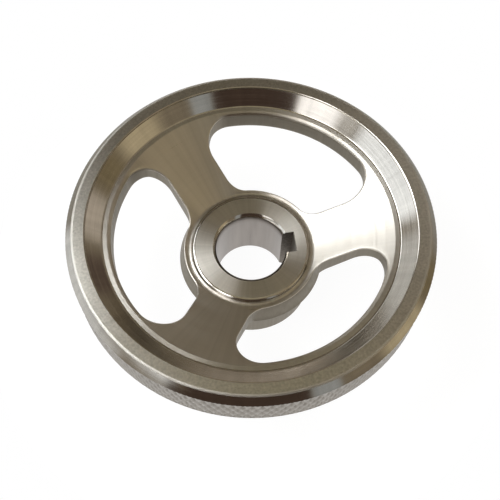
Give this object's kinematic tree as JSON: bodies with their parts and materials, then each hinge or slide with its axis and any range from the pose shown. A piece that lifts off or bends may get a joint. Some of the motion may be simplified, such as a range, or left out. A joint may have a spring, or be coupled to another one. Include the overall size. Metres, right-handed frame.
{
  "type": "machine handwheel",
  "caption": "Dished spoked machine handwheel with a knurled rim, a recessed hub and a keyed through bore.",
  "frame": {"origin": "on the bore's axis, at the hub's back face, which the wheel stands on", "axes": "+Z along the bore axis from the hub's back face to the rim's crown; +X through the keyway and the first spoke"},
  "size_m": [0.1, 0.1, 0.0355],
  "materials": {
    "turned_stainless": "turned and polished, with a knurled rim and cast window walls"
  },
  "bodies": {
    "root": {"handwheel": "turned_stainless"}
  },
  "joints": []
}
